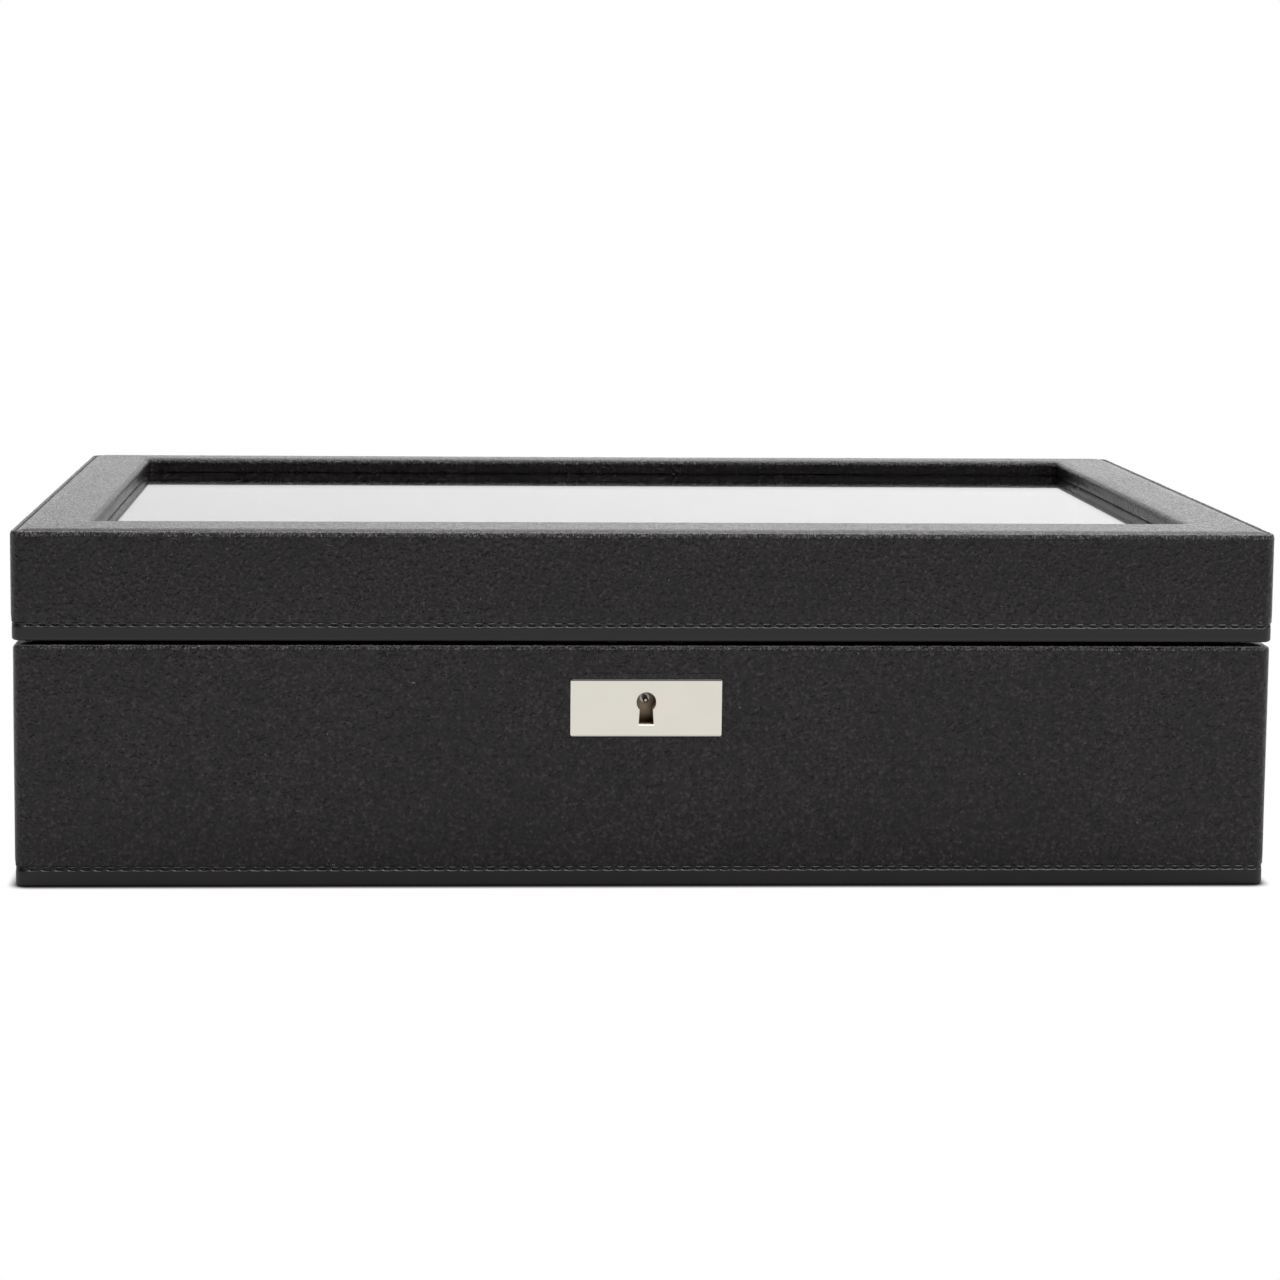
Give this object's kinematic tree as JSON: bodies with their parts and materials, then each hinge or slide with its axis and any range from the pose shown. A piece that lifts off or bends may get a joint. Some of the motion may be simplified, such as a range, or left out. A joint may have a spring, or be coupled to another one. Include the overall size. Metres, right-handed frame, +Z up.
{
  "type": "watch box",
  "caption": "Leather-covered box with a hinged, glazed lid and a keyed lock; it stores wristwatches on padded cushions in suede-lined compartments.",
  "frame": {"origin": "centre of the underside, on the surface that the box stands on", "axes": "+X along the box's width to the right seen from the front, +Y from the front (lock) to the back (hinges), +Z up"},
  "size_m": [0.3374, 0.2215, 0.0962],
  "materials": {
    "leather_black": "pebbled, semi-gloss",
    "leather_binding": "smooth, semi-gloss, stitched",
    "suede_black": "brushed suede",
    "suede_cushion": "brushed suede over soft filling",
    "board": "raw fibreboard",
    "nickel": "polished nickel",
    "lock_brass": "dull, tumbled",
    "steel": "bright drawn",
    "glass": "clear, polished"
  },
  "bodies": {
    "case": {"base_front_wall": "board", "base_back_wall": "board", "base_left_wall": "board", "base_right_wall": "board", "base_floor_board": "board", "base_leather": "leather_black", "base_edge_binding": "leather_binding", "base_underside_cover": "suede_black", "base_liner_front": "suede_black", "base_liner_back": "suede_black", "base_liner_left": "suede_black", "base_liner_right": "suede_black", "base_floor_lining": "suede_black", "long_divider": "suede_black", "cross_divider_1": "suede_black", "cross_divider_2": "suede_black", "cross_divider_3": "suede_black", "cross_divider_4": "suede_black", "lock_plate": "nickel", "lock_case": "lock_brass", "lock_cap": "lock_brass", "lock_key_pin": "steel", "lock_spring": "steel", "lock_screws": "nickel", "hinge_left_base_leaf": "nickel", "hinge_left_pin": "steel", "hinge_right_base_leaf": "nickel", "hinge_right_pin": "steel", "hinge_base_screws": "nickel"},
    "lid": {"striker_plate": "nickel", "striker_screws": "nickel", "hinge_left_lid_leaf": "nickel", "hinge_right_lid_leaf": "nickel", "hinge_lid_screws": "nickel", "lid_front_wall": "board", "lid_back_wall": "board", "lid_left_wall": "board", "lid_right_wall": "board", "lid_top_frame": "board", "lid_glass": "glass", "lid_glass_retainer": "suede_black", "lid_liner_front": "suede_black", "lid_liner_back": "suede_black", "lid_liner_left": "suede_black", "lid_liner_right": "suede_black", "lid_side_leather": "leather_black", "lid_top_leather": "leather_black", "lid_edge_binding": "leather_binding"},
    "lock_bolt": {"lock_bolt": "steel"},
    "cushion_1": {"watch_cushion_1": "suede_cushion"},
    "cushion_2": {"watch_cushion_2": "suede_cushion"},
    "cushion_3": {"watch_cushion_3": "suede_cushion"},
    "cushion_4": {"watch_cushion_4": "suede_cushion"},
    "cushion_5": {"watch_cushion_5": "suede_cushion"},
    "cushion_6": {"watch_cushion_6": "suede_cushion"},
    "cushion_7": {"watch_cushion_7": "suede_cushion"},
    "cushion_8": {"watch_cushion_8": "suede_cushion"},
    "cushion_9": {"watch_cushion_9": "suede_cushion"},
    "cushion_10": {"watch_cushion_10": "suede_cushion"}
  },
  "joints": [
    {"name": "lid_hinge", "type": "hinge", "parent": "case", "child": "lid", "pos_m": [0, 0.1106, 0.0659], "axis": [-1, 0, 0], "range_deg": [0, 95]},
    {"name": "lock_bolt_slide", "type": "slide", "parent": "case", "child": "lock_bolt", "axis": [1, 0, 0], "range_m": [0, 0.0045]},
    {"name": "cushion_1_lift", "type": "slide", "parent": "case", "child": "cushion_1", "axis": [0, 0, 1], "range_m": [0, 0.025]},
    {"name": "cushion_2_lift", "type": "slide", "parent": "case", "child": "cushion_2", "axis": [0, 0, 1], "range_m": [0, 0.025]},
    {"name": "cushion_3_lift", "type": "slide", "parent": "case", "child": "cushion_3", "axis": [0, 0, 1], "range_m": [0, 0.025]},
    {"name": "cushion_4_lift", "type": "slide", "parent": "case", "child": "cushion_4", "axis": [0, 0, 1], "range_m": [0, 0.025]},
    {"name": "cushion_5_lift", "type": "slide", "parent": "case", "child": "cushion_5", "axis": [0, 0, 1], "range_m": [0, 0.025]},
    {"name": "cushion_6_lift", "type": "slide", "parent": "case", "child": "cushion_6", "axis": [0, 0, 1], "range_m": [0, 0.025]},
    {"name": "cushion_7_lift", "type": "slide", "parent": "case", "child": "cushion_7", "axis": [0, 0, 1], "range_m": [0, 0.025]},
    {"name": "cushion_8_lift", "type": "slide", "parent": "case", "child": "cushion_8", "axis": [0, 0, 1], "range_m": [0, 0.025]},
    {"name": "cushion_9_lift", "type": "slide", "parent": "case", "child": "cushion_9", "axis": [0, 0, 1], "range_m": [0, 0.025]},
    {"name": "cushion_10_lift", "type": "slide", "parent": "case", "child": "cushion_10", "axis": [0, 0, 1], "range_m": [0, 0.025]}
  ]
}
